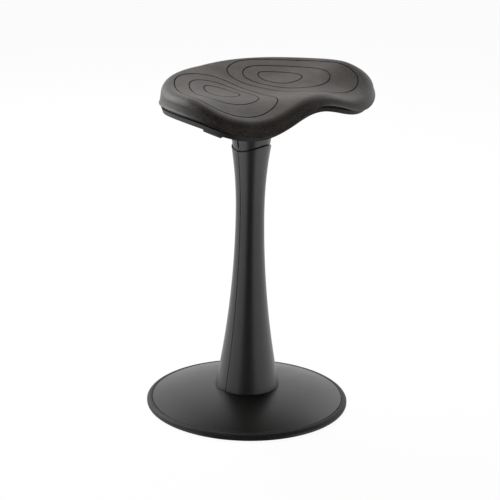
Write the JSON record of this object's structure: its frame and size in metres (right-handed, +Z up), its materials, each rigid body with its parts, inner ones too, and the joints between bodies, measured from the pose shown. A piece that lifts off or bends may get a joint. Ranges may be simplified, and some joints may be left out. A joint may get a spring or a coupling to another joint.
{
  "type": "saddle stool",
  "caption": "Height-adjustable saddle stool with a moulded contoured seat, waisted column over a gas spring and a heavy round foot.",
  "frame": {"origin": "on the floor under the column's axis, at the centre of the round foot", "axes": "+Z up along the column, -Y the way the sitter faces, -X the sitter's right with the lever"},
  "size_m": [0.4388, 0.38, 0.6404],
  "materials": {
    "pad_skin": "fine-grained moulded polyurethane skin, matte",
    "pan_plastic": "moulded, fine texture",
    "column_plastic": "moulded, satin",
    "collar_plastic": "moulded, satin",
    "cover_plastic": "moulded, satin",
    "handle_plastic": "moulded",
    "edge_rubber": "matte",
    "inner_rubber": "matte",
    "painted_steel": "black powder coat",
    "zinc_steel": "zinc plated",
    "bright_steel": "ground",
    "insert_brass": "turned"
  },
  "bodies": {
    "base": {"rim_ring": "edge_rubber", "ballast_plate": "painted_steel", "ballast_disc": "painted_steel", "base_cover": "cover_plastic", "cover_screws": "zinc_steel", "spring_socket": "painted_steel", "socket_bolts": "zinc_steel", "column_front_shell": "column_plastic", "column_rear_shell": "column_plastic", "column_screws": "zinc_steel", "standing_tube": "painted_steel", "guide_bush": "handle_plastic", "lower_race": "bright_steel", "thrust_balls": "bright_steel"},
    "rod": {"upper_race": "bright_steel", "piston_rod": "bright_steel", "rod_clip": "zinc_steel", "buffer_ring": "inner_rubber", "piston": "handle_plastic"},
    "seat": {"pressure_cylinder": "painted_steel", "rod_seal": "inner_rubber", "rod_guide": "handle_plastic", "collar_front_shell": "collar_plastic", "collar_rear_shell": "collar_plastic", "collar_screws": "zinc_steel", "seat_bracket": "painted_steel", "seat_bolts": "zinc_steel", "threaded_inserts": "insert_brass", "lever_pin": "zinc_steel", "seat_pan": "pan_plastic", "seat_pad": "pad_skin"},
    "lever": {"release_lever": "painted_steel", "lever_handle": "handle_plastic"},
    "valve": {"valve_pin": "bright_steel"}
  },
  "joints": [
    {"name": "swivel", "type": "hinge", "parent": "base", "child": "rod", "pos_m": [0, 0, 0], "axis": [0, 0, 1], "continuous": true},
    {"name": "lift", "type": "slide", "parent": "rod", "child": "seat", "axis": [0, 0, 1], "range_m": [0, 0.2]},
    {"name": "lever_rock", "type": "hinge", "parent": "seat", "child": "lever", "pos_m": [-0.02911, -0.00726, 0.5538], "axis": [-0.2419, 0.9703, 0], "range_deg": [0, 5.5], "stiffness_Nm_per_rad": 6, "springref_deg": -1.72},
    {"name": "valve_press", "type": "slide", "parent": "seat", "child": "valve", "axis": [0, 0, -1], "range_m": [0, 0.0032]}
  ],
  "couplings": [
    {"joint": "valve_press", "follows": "lever_rock", "m_per_rad": 0.032}
  ]
}
